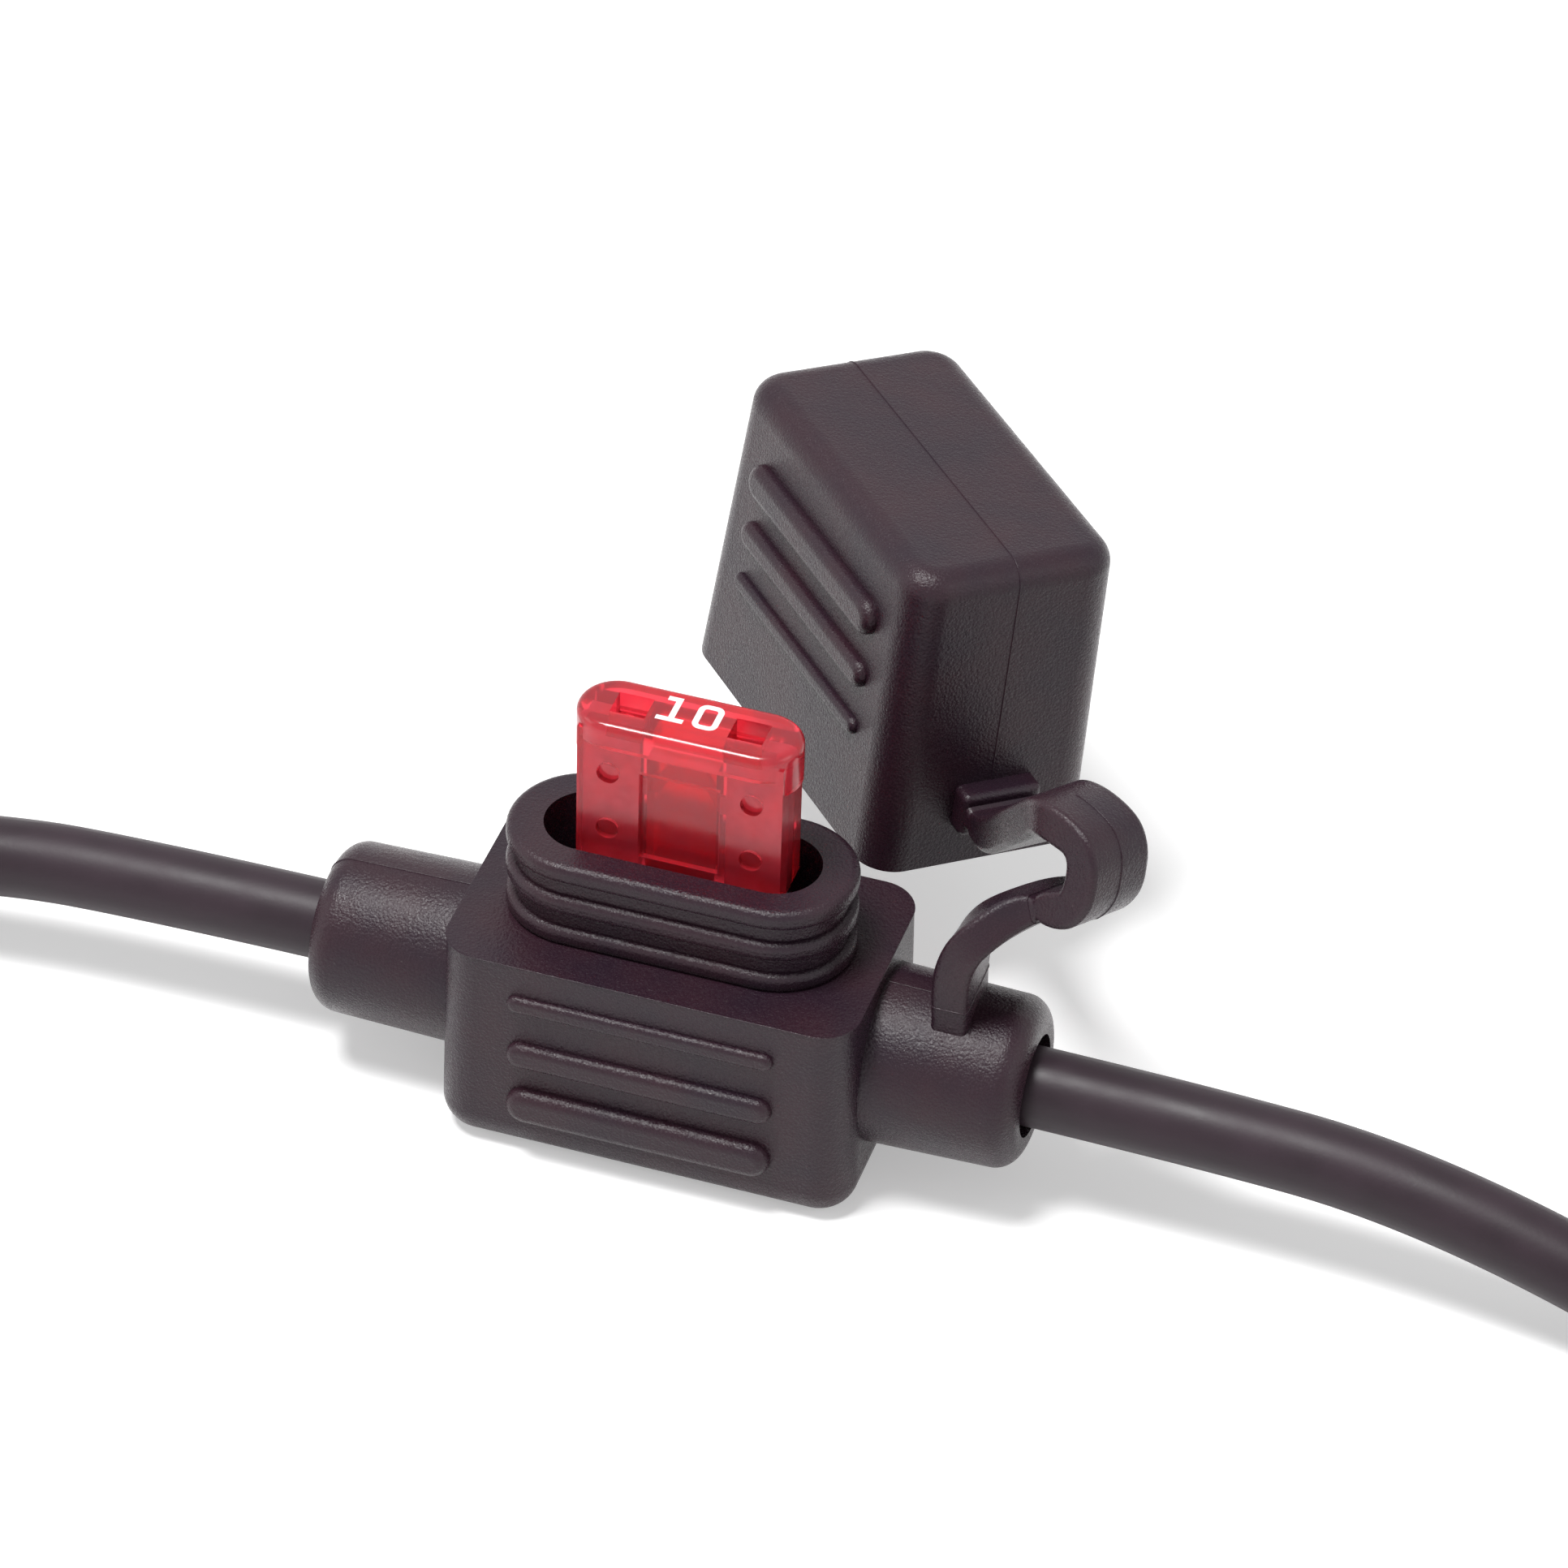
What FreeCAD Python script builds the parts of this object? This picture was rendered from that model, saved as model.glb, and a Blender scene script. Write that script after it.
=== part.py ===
import FreeCAD, Part
import math
import os
from FreeCAD import Vector

# Water-resistant inline holder for one mini blade fuse, shown open with the fuse in place.
# Millimetres. X runs along the leads, Z is up, and the origin is under the middle of the body, on its base.

# Body and neck
body_top_length = 20.3
body_base_length = 20.7
body_width = 11.8
body_height = 11.55
body_corner = 1.9
body_base_round = 1.7
neck_wall = 1.15
neck_height = 4.7
bead_count = 3
bead_pitch = 1.87
bead_height = 1.05
bead_proud = 0.42
bead_round = 0.42
neck_sink = 0.5
mouth_half_length = 6.76
mouth_half_width = 2.19
mouth_depth = 3.4
end_wall = 1.35

# Gripping ribs, thin one first, given from the open side of the body or of the cap
rib_half_length = 6.55
rib_heights = [0.9, 1.4, 1.9]
rib_prouds = [0.35, 0.5, 0.65]
rib_root = 0.4
rib_rounding = 0.85
body_rib_levels = [9.35, 6.3, 3.25]
cap_rib_levels = [6.2, 9.1, 12.3]

# Cable collars
axis_height = 6.36
collar_sink = 1.0
collar_end = 17.6
collar_root_radius = 4.36
collar_end_radius = 4.16
collar_round = 1.25
recess_radius = 2.5
recess_depth = 0.6

# Leads
jacket_radius = 1.95
core_radius = 1.0
bare_radius = 1.2
jacket_start = 10.4
core_start = 6.4
bare_length = 6.0
bend_share = 0.45
lead_rest = jacket_radius
lead_start = [(jacket_start, 0, axis_height), (23.7, 0.1, 6.28), (37.0, -0.4, 6.05), (54.0, -3.0, lead_rest)]
lead_run = 16.5
lead_headings = [34.0, 80.0, 126.0]

# Mini blade fuse
fuse_middle = 0.25
fuse_stand = 7.45
fuse_top = body_height + neck_height + fuse_stand
head_length = 10.9
head_thickness = 3.8
head_height = 1.35
lug_height = 2.3
lug_thickness = 2.36
lug_round = 0.45
fuse_body_length = 10.0
fuse_body_thickness = 3.0
fuse_housing_height = 8.7
fuse_height = 16.3
blade_width = 2.8
blade_thickness = 0.8
blade_middle = 3.5
blade_chamfer = 0.5
blade_cover = 1.1
test_window_length = 1.7
test_window_width = 1.5
test_window_middle = 2.85
side_window_half = 1.95
side_window_depth = 0.3
side_window_height = 4.9
side_window_rise = 1.1
dimple_radius = 0.55
dimple_depth = 0.3
dimple_drops = [3.1, 6.4]
chamber_half_length = 1.7
chamber_half_thickness = 0.95
chamber_roof = 0.6
link_thickness = 0.3
link_width = 1.0
link_drop = 4.6
link_arch = 0.9
link_overlap = 0.2
link_foot = 0.9
link_crown = 0.5

# Terminals
sheet = 0.4
blade_clearance = 0.05
leaf_width = 3.2
leaf_top = 12.2
leaf_base = 3.9
barrel_end = 10.2
barrel_radius = 1.6
tongue_half_height = 1.0
tongue_overlap = 0.3
terminal_clearance = 0.15
pocket_base = 3.4

# Cap, in its own frame: x along its length, z from the middle of its height to the closed end
cap_rim_length = 20.4
cap_rim_width = 11.85
cap_end_length = 18.9
cap_end_width = 11.2
cap_height = 16.5
cap_corner = 1.9
cap_end_round = 1.3
cap_wall_end = 1.6
cap_mouth_half_length = 8.75
cap_mouth_half_width = 3.85
cap_place = (4.46, 20.98, 16.45)
cap_long = Vector(0.6925, -0.7215, -0.0018)
cap_up = Vector(0.0865, 0.0805, 0.993)

# Strap: a flat ribbon, thinned at the two places where it bends
strap_width = 4.0
strap_thickness = 1.8
strap_edge = 0.3
hinge_thickness = 1.4
hinge_gap = 0.5
foot_x = 13.72

# Stations of the lower arm: place, share of the turn from the collar's frame to the bend's, angle of the run
arm_stations = [((foot_x, 0, 9.6), 0, 90), ((foot_x, 0, 12.2), 0, 90), ((13.95, 0.04, 13.65), 0.15, 78),
                ((14.5, 0.17, 14.7), 0.35, 60), ((15.43, 0.54, 15.5), 0.6, 42), ((16.47, 1.12, 16.06), 0.85, 32)]

# The bend: its middle, the way it opens away from and the way of its width, then its stations in its own plane
bend_middle = Vector(18.6, 1.9, 19.36)
bend_out = Vector(0.8919, -0.4522, 0)
bend_width_way = Vector(0.4397, 0.8674, -0.2328)
bend_stations = [(0.5, -2.3, 30), (1.2, -1.85, 45), (1.62, -1.0, 78), (1.64, -0.1, 95), (1.45, 0.75, 112),
                 (0.95, 1.35, 140), (0.2, 1.6, 172)]
bend_start = (-0.2, -2.65)
bend_start_angle = 30

# Stations of the upper arm, as for the lower arm but from the bend's frame to the cap's
reach_stations = [((17.45, 3.0, 20.85), 0, 192), ((16.45, 4.7, 19.15), 0.2, 218), ((15.2, 6.7, 16.7), 0.4, 226),
                  ((14.15, 8.7, 14.45), 0.6, 220), ((13.25, 10.4, 12.75), 0.8, 208)]
root_end_angle = 186

# Block on the cap's narrow side that the strap ends in
root_across = 0.2
root_level = -4.9
root_proud = 0.9
root_sink = 0.8
root_width = 4.2
root_height = 2.4
root_round = 0.35


def unit(v):
    v = Vector(v)
    v.normalize()
    return v


cap_x = unit(cap_long)
cap_y = unit(unit(cap_up).cross(cap_x))
cap_z = cap_x.cross(cap_y)
cap_middle = Vector(*cap_place)
bend_x = unit(bend_out)
bend_z = unit(bend_x.cross(unit(bend_width_way)))
bend_y = bend_z.cross(bend_x)
collar_frame = (Vector(1, 0, 0), Vector(0, 1, 0))
bend_frame = (bend_x, bend_y)
cap_frame = (cap_x, cap_y)


def at(shape, x, y, z):
    return shape.translated(Vector(x, y, z))


def block(x0, x1, y0, y1, z0, z1):
    return Part.makeBox(x1 - x0, y1 - y0, z1 - z0, Vector(x0, y0, z0))


def rounded_outline(length, width, radius, z):
    """A rectangle with round corners, as a wire at one height."""
    a = length / 2
    b = width / 2
    k = radius * (1 - math.sqrt(0.5))
    edges = []
    corners = [(1, 1), (-1, 1), (-1, -1), (1, -1)]
    for n, (sx, sy) in enumerate(corners):
        side_end = Vector(sx * a, sy * (b - radius), z)
        top_end = Vector(sx * (a - radius), sy * b, z)
        middle = Vector(sx * (a - k), sy * (b - k), z)
        first, last = (side_end, top_end) if n % 2 == 0 else (top_end, side_end)
        edges.append(Part.Arc(first, middle, last).toShape())
        nx, ny = corners[(n + 1) % 4]
        if n % 2 == 0:
            following = Vector(nx * (a - radius), ny * b, z)
        else:
            following = Vector(nx * a, ny * (b - radius), z)
        edges.append(Part.makeLine(last, following))
    return Part.Wire(edges)


def stadium_wire(half_length, half_width, z):
    """A straight-sided outline with two half-round ends."""
    s = half_length - half_width
    front_left = Vector(-s, -half_width, z)
    front_right = Vector(s, -half_width, z)
    rear_right = Vector(s, half_width, z)
    rear_left = Vector(-s, half_width, z)
    edges = [Part.makeLine(front_left, front_right),
             Part.Arc(front_right, Vector(half_length, 0, z), rear_right).toShape(),
             Part.makeLine(rear_right, rear_left),
             Part.Arc(rear_left, Vector(-half_length, 0, z), front_left).toShape()]
    return Part.Wire(edges)


def stadium(half_length, half_width, z0, z1):
    return Part.Face(stadium_wire(half_length, half_width, z0)).extrude(Vector(0, 0, z1 - z0))


def flat_edges(shape, level):
    """The edges that lie wholly at one height."""
    found = []
    for edge in shape.Edges:
        box = edge.BoundBox
        if abs(box.ZMin - level) < 0.001 and abs(box.ZMax - level) < 0.001:
            found.append(edge)
    return found


def rib(level, height, proud, face_y):
    """A rounded bar lying on a face that looks along minus Y."""
    deep = proud + rib_root
    bar = stadium(rib_half_length, height / 2, 0, deep)
    bar = bar.makeFillet(min(proud, height / 2) * rib_rounding, flat_edges(bar, deep))
    bar.rotate(Vector(0, 0, 0), Vector(1, 0, 0), 90)
    return at(bar, 0, face_y + rib_root, level)


def mirrored_y(shape):
    return shape.mirror(Vector(0, 0, 0), Vector(0, 1, 0))


def blended(first, last, share):
    """Side and width directions part of the way from one frame to another."""
    way = unit(first[1] * (1 - share) + last[1] * share)
    side = first[0] * (1 - share) + last[0] * share
    return unit(side - way * side.dot(way)), way


def section(place, frame, angle, thick):
    """The four corners of the ribbon where its run has turned by the angle from its frame's side direction."""
    side, way = frame
    turn = math.radians(angle)
    deep = (side * math.sin(turn) - side.cross(way) * math.cos(turn)) * (thick / 2)
    across = way * (strap_width / 2)
    return [place - across - deep, place - across + deep, place + across + deep, place + across - deep]


def ruled_face(first, last):
    """A face that runs straight across from one spline to another with the same knots."""
    surface = Part.BSplineSurface()
    surface.buildFromPolesMultsKnots([first.getPoles(), last.getPoles()], [2, 2], first.getMultiplicities(),
                                     [0, 1], first.getKnots(), False, False, 1, first.Degree)
    return surface.toShape()


def ribbon(sections):
    """A solid strip whose long edges are splines through the corners of its sections."""
    middles = [(s[0] + s[2]) * 0.5 for s in sections]
    marks = [0.0]
    for here, following in zip(middles, middles[1:]):
        marks.append(marks[-1] + here.distanceToPoint(following))
    rails = []
    for n in range(4):
        curve = Part.BSplineCurve()
        curve.interpolate(Points=[s[n] for s in sections], Parameters=marks)
        rails.append(curve)
    faces = [ruled_face(rails[n], rails[(n + 1) % 4]) for n in range(4)]
    for corners in (sections[0], sections[-1]):
        faces.append(Part.Face(Part.makePolygon(corners + corners[:1])))
    shell = Part.makeShell(faces)
    shell.sewShape()
    solid = Part.makeSolid(shell)
    if solid.Volume < 0:
        solid.reverse()
    return solid.makeFillet(strap_edge, [e for e in solid.Edges if e.Length > strap_width * 1.5])


def bend_point(along, up):
    return bend_middle + bend_x * along + bend_z * up


def before_bend(distance):
    """A place on the line that runs into the start of the bend."""
    turn = math.radians(bend_start_angle)
    return bend_point(bend_start[0] - distance * math.cos(turn), bend_start[1] - distance * math.sin(turn))


def body_solid():
    base = rounded_outline(body_base_length, body_width, body_corner, 0)
    top = rounded_outline(body_top_length, body_width, body_corner, body_height)
    solid = Part.makeLoft([base, top], True, True)
    return solid.makeFillet(body_base_round, flat_edges(solid, 0))


def neck_solid():
    """The oval neck with its sealing beads; the top bead is the lip of the mouth."""
    half_length = mouth_half_length + end_wall
    half_width = mouth_half_width + neck_wall
    top = body_height + neck_height
    neck = stadium(half_length, half_width, body_height - neck_sink, top - bead_height / 2)
    for n in range(bead_count):
        bead_top = top - n * bead_pitch
        bead = stadium(half_length + bead_proud, half_width + bead_proud, bead_top - bead_height, bead_top)
        rims = flat_edges(bead, bead_top) + flat_edges(bead, bead_top - bead_height)
        neck = neck.fuse(bead.makeFillet(bead_round, rims))
    return neck


def collar(side):
    """A tapered round sleeve that the lead comes out of, on the +X or the -X side."""
    root = body_top_length / 2 - collar_sink
    cone = Part.makeCone(collar_root_radius, collar_end_radius, collar_end - root,
                         Vector(root, 0, axis_height), Vector(1, 0, 0))
    rim = [e for e in cone.Edges if abs(e.BoundBox.XMin - collar_end) < 0.001]
    cone = cone.makeFillet(collar_round, rim)
    recess = Part.makeCylinder(recess_radius, recess_depth + 1,
                               Vector(collar_end - recess_depth, 0, axis_height), Vector(1, 0, 0))
    cone = cone.cut(recess)
    return cone if side > 0 else cone.mirror(Vector(0, 0, 0), Vector(1, 0, 0))


def terminal_pocket(side):
    """Room for a terminal, its crimp and the end of the jacket."""
    middle = fuse_middle + side * blade_middle
    half = leaf_width / 2 + terminal_clearance
    deep = blade_thickness / 2 + blade_clearance + sheet + terminal_clearance
    well = block(middle - half, middle + half, -deep, deep, pocket_base, body_height + 2)
    inner = min(abs(middle), core_start)
    bore = Part.makeCylinder(barrel_radius + terminal_clearance, jacket_start - inner,
                             Vector(side * inner, 0, axis_height), Vector(side, 0, 0))
    wire = Part.makeCylinder(jacket_radius, collar_end - jacket_start + 1,
                             Vector(side * jacket_start, 0, axis_height), Vector(side, 0, 0))
    return well.fuse([bore, wire])


def arm_sections(stations, first, last):
    return [section(Vector(*place), blended(first, last, share), angle, strap_thickness)
            for place, share, angle in stations]


def lower_arm():
    """The part of the strap that grows out of the right collar."""
    sections = arm_sections(arm_stations, collar_frame, bend_frame)
    sections.append(section(before_bend(hinge_gap), bend_frame, bend_start_angle, hinge_thickness))
    return ribbon(sections)


def housing():
    shell = body_solid().fuse([neck_solid(), collar(1), collar(-1), lower_arm()])
    front = -body_width / 2
    for level, height, proud in zip(body_rib_levels, rib_heights, rib_prouds):
        bar = rib(level, height, proud, front)
        shell = shell.fuse([bar, mirrored_y(bar)])
    top = body_height + neck_height
    mouth = stadium(mouth_half_length, mouth_half_width, top - mouth_depth, top + 1)
    shell = shell.cut(mouth)
    for side in (-1, 1):
        shell = shell.cut(terminal_pocket(side))
    return shell.removeSplitter()


def strap_bend():
    """The C of the strap and its long arm, between the two thin spots."""
    sections = [section(before_bend(0), bend_frame, bend_start_angle, hinge_thickness)]
    for along, up, angle in bend_stations:
        sections.append(section(bend_point(along, up), bend_frame, angle, strap_thickness))
    sections += arm_sections(reach_stations, bend_frame, cap_frame)
    end = cap_point(cap_rim_length / 2 + root_proud + hinge_gap, root_across, root_level)
    sections.append(section(end, cap_frame, root_end_angle, hinge_thickness))
    return ribbon(sections)


def cap_point(x, y, z):
    return cap_middle + cap_x * x + cap_y * y + cap_z * z


def placed_as_cap(shape):
    moved = shape.copy()
    columns = (cap_x, cap_y, cap_z, cap_middle)
    matrix = FreeCAD.Matrix(*[c[n] for n in range(3) for c in columns], 0, 0, 0, 1)
    moved.Placement = FreeCAD.Placement(matrix)
    return moved


def strap_root():
    """The rounded block that joins the strap to the cap, in the cap's frame."""
    half = cap_rim_length / 2
    solid = block(half - root_sink, half + root_proud, root_across - root_width / 2, root_across + root_width / 2,
                  root_level - root_height / 2, root_level + root_height / 2)
    return solid.makeFillet(root_round, solid.Edges)


def cap():
    half = cap_height / 2
    rim = rounded_outline(cap_rim_length, cap_rim_width, cap_corner, -half)
    end = rounded_outline(cap_end_length, cap_end_width, cap_corner, half)
    shell = Part.makeLoft([rim, end], True, True)
    shell = shell.makeFillet(cap_end_round, flat_edges(shell, half))
    for distance, height, proud in zip(cap_rib_levels, rib_heights, rib_prouds):
        draft = (cap_rim_width - cap_end_width) / 2 * distance / cap_height
        bar = rib(distance - half, height, proud, draft - cap_rim_width / 2)
        shell = shell.fuse([bar, mirrored_y(bar)])
    shell = shell.cut(stadium(cap_mouth_half_length, cap_mouth_half_width, -half - 1, half - cap_wall_end))
    return placed_as_cap(shell.fuse(strap_root()).removeSplitter())


def heading(turned):
    """Floor direction of a run, turned from +X towards +Y."""
    a = math.radians(turned)
    return Vector(math.cos(a), math.sin(a), 0)


def lead_points(side):
    """Corner points of a lead, drawn for the +X side and mirrored for the other."""
    points = [Vector(x, y, z) for x, y, z in lead_start]
    for turned in lead_headings:
        points.append(points[-1] + heading(turned) * lead_run)
    return [Vector(side * p.x, p.y, p.z) for p in points]


def lead_path(points):
    """Straight runs joined by arcs that touch them."""
    edges = []
    here = points[0]
    for n in range(1, len(points) - 1):
        back = points[n - 1] - points[n]
        ahead = points[n + 1] - points[n]
        cut_back = bend_share * min(back.Length, ahead.Length)
        turn = math.pi - back.getAngle(ahead)
        radius = cut_back / math.tan(turn / 2)
        start = points[n] + unit(back) * cut_back
        end = points[n] + unit(ahead) * cut_back
        inward = unit(unit(back) + unit(ahead))
        middle = points[n] + inward * (radius / math.cos(turn / 2) - radius)
        edges.append(Part.LineSegment(here, start).toShape())
        edges.append(Part.Arc(start, middle, end).toShape())
        print("lead bend radius", round(radius, 2))
        here = end
    edges.append(Part.LineSegment(here, points[-1]).toShape())
    return Part.Wire(edges)


def swept(path, radius):
    first = path.Edges[0]
    place = first.valueAt(first.FirstParameter)
    way = first.tangentAt(first.FirstParameter)
    disc = Part.Wire(Part.makeCircle(radius, place, way))
    solid = path.makePipeShell([disc], True, False)
    expected = math.pi * radius ** 2 * path.Length
    print("sweep volume over section times length", round(solid.Volume / expected, 4))
    return solid


def lead(side):
    """The jacket and the copper core of one lead; the core starts in the crimp and ends bare."""
    points = lead_points(side)
    path = lead_path(points)
    print("jacket length", round(path.Length, 1), "outside", round(path.Length - collar_end + jacket_start, 1))
    core_in = Part.makeCylinder(core_radius, jacket_start - core_start,
                                Vector(side * core_start, 0, axis_height), Vector(side, 0, 0))
    way = unit(points[-1] - points[-2])
    bare = Part.makeCylinder(bare_radius, bare_length, points[-1], way)
    middle = swept(path, core_radius)
    jacket = swept(path, jacket_radius).cut(middle)
    core = middle.fuse([core_in, bare]).removeSplitter()
    return jacket, core


def terminal(side):
    """One folded sheet: two leaves that grip the blade, and the barrel that is crimped on the core."""
    middle = fuse_middle + side * blade_middle
    inner = blade_thickness / 2 + blade_clearance
    half = leaf_width / 2
    front = block(middle - half, middle + half, -inner - sheet, -inner, leaf_base, leaf_top)
    rear = mirrored_y(front)
    web = block(middle - half, middle + half, -inner - sheet, inner + sheet, leaf_base, leaf_base + sheet)
    outer = side * (abs(middle) + half)
    near, far = sorted([outer - side * tongue_overlap, side * (core_start + tongue_overlap)])
    tongue = block(near, far, -inner - sheet, -inner, axis_height - tongue_half_height,
                   axis_height + tongue_half_height)
    barrel = Part.makeCylinder(barrel_radius, barrel_end - core_start,
                               Vector(side * core_start, 0, axis_height), Vector(side, 0, 0))
    solid = front.fuse([rear, web, tongue, mirrored_y(tongue), barrel])
    core = Part.makeCylinder(core_radius, barrel_end - core_start + 1,
                             Vector(side * core_start, 0, axis_height), Vector(side, 0, 0))
    return solid.cut(core).removeSplitter()


def blade(side):
    """A flat blade with its lower end cut to a blunt point."""
    middle = fuse_middle + side * blade_middle
    half = blade_width / 2
    low = fuse_top - fuse_height
    high = fuse_top - blade_cover
    outline = [(middle - half, low + blade_chamfer), (middle - half + blade_chamfer, low),
               (middle + half - blade_chamfer, low), (middle + half, low + blade_chamfer),
               (middle + half, high), (middle - half, high)]
    points = [Vector(x, -blade_thickness / 2, z) for x, z in outline]
    face = Part.Face(Part.makePolygon(points + points[:1]))
    return face.extrude(Vector(0, blade_thickness, 0))


def fuse_link():
    """The thin bridge that melts, arched between the blades."""
    reach = blade_middle - blade_width / 2 + link_overlap
    level = fuse_top - link_drop
    foot = reach - link_foot
    crown = foot - link_crown
    outline = [(-reach, 0), (-foot, 0), (-crown, link_arch), (crown, link_arch), (foot, 0), (reach, 0)]
    upper = [Vector(fuse_middle + x, -link_thickness / 2, level + z + link_width) for x, z in outline]
    lower = [Vector(fuse_middle + x, -link_thickness / 2, level + z) for x, z in reversed(outline)]
    points = upper + lower
    return Part.Face(Part.makePolygon(points + points[:1])).extrude(Vector(0, link_thickness, 0))


def fuse_element():
    return blade(-1).fuse([blade(1), fuse_link()]).removeSplitter()


def fuse_housing():
    """The see-through moulding of the fuse."""
    base = fuse_top - fuse_housing_height
    half = head_thickness / 2
    head = stadium(head_length / 2, half, fuse_top - head_height, fuse_top)
    head = head.makeFillet(lug_round, flat_edges(head, fuse_top))
    lugs = stadium(head_length / 2, half, fuse_top - lug_height, fuse_top - head_height / 2)
    lugs = lugs.common(block(-head_length, head_length, -lug_thickness / 2, lug_thickness / 2, base, fuse_top))
    body = block(-fuse_body_length / 2, fuse_body_length / 2, -fuse_body_thickness / 2, fuse_body_thickness / 2,
                 base, fuse_top - head_height / 2)
    solid = head.fuse([lugs, body])
    for face_side in (-1, 1):
        y0, y1 = sorted([face_side * (fuse_body_thickness / 2 - side_window_depth), face_side * fuse_body_thickness])
        low = base + side_window_rise
        window = block(-side_window_half, side_window_half, y0, y1, low, low + side_window_height)
        solid = solid.cut(window)
        for x in (-blade_middle, blade_middle):
            for drop in dimple_drops:
                place = Vector(x, face_side * (fuse_body_thickness / 2 - dimple_depth), fuse_top - drop)
                solid = solid.cut(Part.makeCylinder(dimple_radius, 1, place, Vector(0, face_side, 0)))
    chamber = block(-chamber_half_length, chamber_half_length, -chamber_half_thickness, chamber_half_thickness,
                    base - 1, fuse_top - head_height - chamber_roof)
    solid = solid.cut(chamber)
    for x in (-test_window_middle, test_window_middle):
        half_x = test_window_length / 2
        half_y = test_window_width / 2
        hole = block(x - half_x, x + half_x, -half_y, half_y, fuse_top - blade_cover, fuse_top + 1)
        solid = solid.cut(hole)
    solid = at(solid, fuse_middle, 0, 0)
    return solid.cut(fuse_element())


def write(name, shape):
    solids = shape.Solids
    if len(solids) != 1 or not shape.isValid():
        raise RuntimeError(name + " is not one valid solid: " + str(len(solids)))
    solids[0].exportStep("parts/" + name + ".step")
    box = solids[0].BoundBox
    print(name, "volume", round(shape.Volume, 2), "box",
          [round(v, 2) for v in (box.XMin, box.XMax, box.YMin, box.YMax, box.ZMin, box.ZMax)])


def main():
    os.makedirs("parts", exist_ok=True)
    write("housing", housing())
    write("strap_bend", strap_bend())
    write("cap", cap())
    write("fuse_housing", fuse_housing())
    write("fuse_element", fuse_element())
    for name, side in (("left", -1), ("right", 1)):
        jacket, core = lead(side)
        write(name + "_lead_jacket", jacket)
        write(name + "_lead_core", core)
        write(name + "_terminal", terminal(side))
    print("lower hinge", before_bend(hinge_gap / 2), "axis", bend_y)
    print("upper hinge", cap_point(cap_rim_length / 2 + root_proud + hinge_gap / 2, root_across, root_level),
          "axis", cap_y)


main()
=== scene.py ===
import math

import bmesh
import bpy
from bpy.props import FloatProperty, FloatVectorProperty, IntProperty, PointerProperty
from mathutils import Matrix, Vector


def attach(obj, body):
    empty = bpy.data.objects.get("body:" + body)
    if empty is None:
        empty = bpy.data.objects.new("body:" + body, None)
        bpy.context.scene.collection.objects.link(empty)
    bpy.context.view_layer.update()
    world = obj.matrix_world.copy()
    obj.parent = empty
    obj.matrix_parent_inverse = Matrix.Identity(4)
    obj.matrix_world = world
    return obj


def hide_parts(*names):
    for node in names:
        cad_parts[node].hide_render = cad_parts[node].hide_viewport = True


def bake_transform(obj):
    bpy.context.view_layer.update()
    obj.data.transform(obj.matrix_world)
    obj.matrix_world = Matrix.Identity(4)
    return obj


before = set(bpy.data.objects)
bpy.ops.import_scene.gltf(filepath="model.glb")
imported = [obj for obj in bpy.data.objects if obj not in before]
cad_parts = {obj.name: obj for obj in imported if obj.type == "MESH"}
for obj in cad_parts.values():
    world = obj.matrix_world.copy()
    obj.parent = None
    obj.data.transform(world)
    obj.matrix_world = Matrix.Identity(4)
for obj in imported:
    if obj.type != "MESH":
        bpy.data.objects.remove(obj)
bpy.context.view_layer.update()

bl_info = {
    "name": "Inline fuse holder",
    "version": (1, 0, 0),
    "blender": (4, 5, 0),
    "location": "3D View > Sidebar > Fuse holder",
    "description": "Dresses the inline fuse holder: moulding, leads, fuse, print and stage",
    "category": "Object",
}

MM = 0.001

# Places that the solids also use
CAP_MIDDLE = Vector((4.46, 20.98, 16.45)) * MM
CAP_LONG = Vector((0.6925, -0.7215, -0.0018)).normalized()
CAP_UP = Vector((0.0865, 0.0805, 0.993)).normalized()
CAP_ACROSS = CAP_UP.cross(CAP_LONG).normalized()
CAP_RISE = CAP_LONG.cross(CAP_ACROSS)
CAP_FRAME = Matrix((CAP_LONG, CAP_ACROSS, CAP_RISE))
BEND_MIDDLE = Vector((18.6, 1.9, 19.36)) * MM
BEND_OUT = Vector((0.8919, -0.4522, 0)).normalized()
BEND_UP = BEND_OUT.cross(Vector((0.4397, 0.8674, -0.2328)).normalized()).normalized()
BEND_ACROSS = BEND_UP.cross(BEND_OUT)
STRAP_WIDTH = 4.0
THIN_SPOT = 1.4
THIN_SPOT_LENGTH = 0.5
BEND_START = (-0.2, -2.65)
BEND_START_ANGLE = 30
CAP_HALF_LENGTH = 10.2
ROOT_PROUD = 0.9
ROOT_PLACE = (0.2, -4.9)
LEAD_ROUTE = [
    (10.4, 0.0, 6.36),
    (23.7, 0.1, 6.28),
    (37.0, -0.4, 6.05),
    (54.0, -3.0, 1.95),
    (67.679, 6.227, 1.95),
    (70.544, 22.476, 1.95),
    (60.846, 35.825, 1.95),
]
COLLAR_LINE_FROM = 3.0
LEAD_AXIS = 6.36
BARE_LENGTH = 6.0
FUSE_TOP = 23.7
BODY_EDGE_LEVEL = 11.5

# The camera that was fitted to the photograph
CAMERA_PLACE = Vector((83.28, -256.90, 240.31)) * MM
CAMERA_RIGHT = Vector((0.9499, 0.3115, 0.0251)).normalized()
CAMERA_BACK = Vector((0.2262, -0.7410, 0.6323))

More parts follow.
